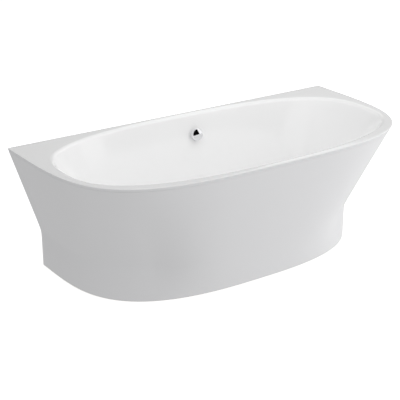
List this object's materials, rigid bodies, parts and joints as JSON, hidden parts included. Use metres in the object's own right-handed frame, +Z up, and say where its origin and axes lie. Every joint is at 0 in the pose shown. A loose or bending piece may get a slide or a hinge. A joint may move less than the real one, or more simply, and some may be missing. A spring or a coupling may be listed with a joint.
{
  "type": "bathtub",
  "caption": "Back-to-wall acrylic bathtub with a flat rear edge, rounded front, flared apron, support frame, levelling feet, and pop-up waste with a rotary overflow knob.",
  "frame": {"origin": "on the floor, under the middle of the rim outline (wall edge to front edge)", "axes": "+X along the wall (right end when seen from the front), +Y towards the wall, +Z up"},
  "size_m": [1.7, 0.8, 0.58],
  "materials": {
    "acrylic": "glossy sanitary acrylic, ivory fibreglass on the hidden side",
    "apron_acrylic": "glossy sanitary acrylic",
    "board": "raw chipboard, sealed",
    "batten_wood": "planed softwood",
    "frame_steel": "galvanised",
    "adhesive": "cured elastic adhesive",
    "zinc_fastener": "bright zinc plate",
    "foot_plastic": "moulded, matt",
    "chrome": "polished",
    "seal_rubber": "matt",
    "kit_plastic": "moulded polypropylene",
    "hose_plastic": "ribbed flexible hose",
    "cable_sheath": "extruded sheath"
  },
  "bodies": {
    "tub": {"basin_shell": "acrylic", "skirt_panel": "apron_acrylic", "base_board": "board", "corner_board_left": "board", "corner_board_right": "board", "side_batten_left": "batten_wood", "side_batten_right": "batten_wood", "rail_front": "frame_steel", "rail_rear": "frame_steel", "cross_rail_left": "frame_steel", "cross_rail_right": "frame_steel", "outrigger_left": "frame_steel", "outrigger_right": "frame_steel", "rim_post_left": "frame_steel", "rim_post_right": "frame_steel", "wall_bracket_left": "frame_steel", "wall_bracket_right": "frame_steel", "panel_brackets": "frame_steel", "adhesive_pads": "adhesive", "board_screws": "zinc_fastener", "frame_bolts": "zinc_fastener", "bracket_screws": "zinc_fastener", "lock_nuts": "zinc_fastener", "overflow_insert": "chrome", "overflow_gasket": "seal_rubber", "overflow_elbow": "kit_plastic", "overflow_hose": "hose_plastic", "bowden_cable": "cable_sheath", "hose_nuts": "kit_plastic", "waste_flange": "chrome", "waste_gasket": "seal_rubber", "waste_body": "kit_plastic", "lever_pin": "zinc_fastener", "trap_inlet_pipe": "kit_plastic", "trap_body": "kit_plastic", "trap_cup": "kit_plastic", "union_nuts": "kit_plastic", "outlet_pipe": "kit_plastic"},
    "knob": {"overflow_knob": "chrome", "knob_spindle": "zinc_fastener", "cable_cam": "kit_plastic"},
    "plug": {"drain_plug": "chrome", "plug_seal": "seal_rubber", "plug_stem": "zinc_fastener"},
    "lever": {"lift_lever": "zinc_fastener"},
    "foot_front_left": {"foot_stud_front_left": "zinc_fastener", "foot_pad_front_left": "foot_plastic"},
    "foot_front_right": {"foot_stud_front_right": "zinc_fastener", "foot_pad_front_right": "foot_plastic"},
    "foot_rear_left": {"foot_stud_rear_left": "zinc_fastener", "foot_pad_rear_left": "foot_plastic"},
    "foot_rear_right": {"foot_stud_rear_right": "zinc_fastener", "foot_pad_rear_right": "foot_plastic"},
    "foot_wall_left": {"foot_stud_wall_left": "zinc_fastener", "foot_pad_wall_left": "foot_plastic"},
    "foot_wall_right": {"foot_stud_wall_right": "zinc_fastener", "foot_pad_wall_right": "foot_plastic"}
  },
  "joints": [
    {"name": "knob_turn", "type": "hinge", "parent": "tub", "child": "knob", "pos_m": [0.067, 0.34847, 0.481], "axis": [0, -0.9659, 0.2588], "range_deg": [0, 90]},
    {"name": "plug_slide", "type": "slide", "parent": "tub", "child": "plug", "axis": [0, 0, 1], "range_m": [0, 0.012]},
    {"name": "lever_tilt", "type": "hinge", "parent": "tub", "child": "lever", "pos_m": [0.067, 0.037, 0.08], "axis": [-1, 0, 0], "range_deg": [0, 33]},
    {"name": "foot_front_left_screw", "type": "slide", "parent": "tub", "child": "foot_front_left", "axis": [0, 0, -1], "range_m": [0, 0.02]},
    {"name": "foot_front_right_screw", "type": "slide", "parent": "tub", "child": "foot_front_right", "axis": [0, 0, -1], "range_m": [0, 0.02]},
    {"name": "foot_rear_left_screw", "type": "slide", "parent": "tub", "child": "foot_rear_left", "axis": [0, 0, -1], "range_m": [0, 0.02]},
    {"name": "foot_rear_right_screw", "type": "slide", "parent": "tub", "child": "foot_rear_right", "axis": [0, 0, -1], "range_m": [0, 0.02]},
    {"name": "foot_wall_left_screw", "type": "slide", "parent": "tub", "child": "foot_wall_left", "axis": [0, 0, -1], "range_m": [0, 0.02]},
    {"name": "foot_wall_right_screw", "type": "slide", "parent": "tub", "child": "foot_wall_right", "axis": [0, 0, -1], "range_m": [0, 0.02]}
  ],
  "couplings": [
    {"joint": "plug_slide", "follows": "knob_turn", "m_per_rad": 0.00763},
    {"joint": "lever_tilt", "follows": "knob_turn", "ratio": 0.3666}
  ]
}
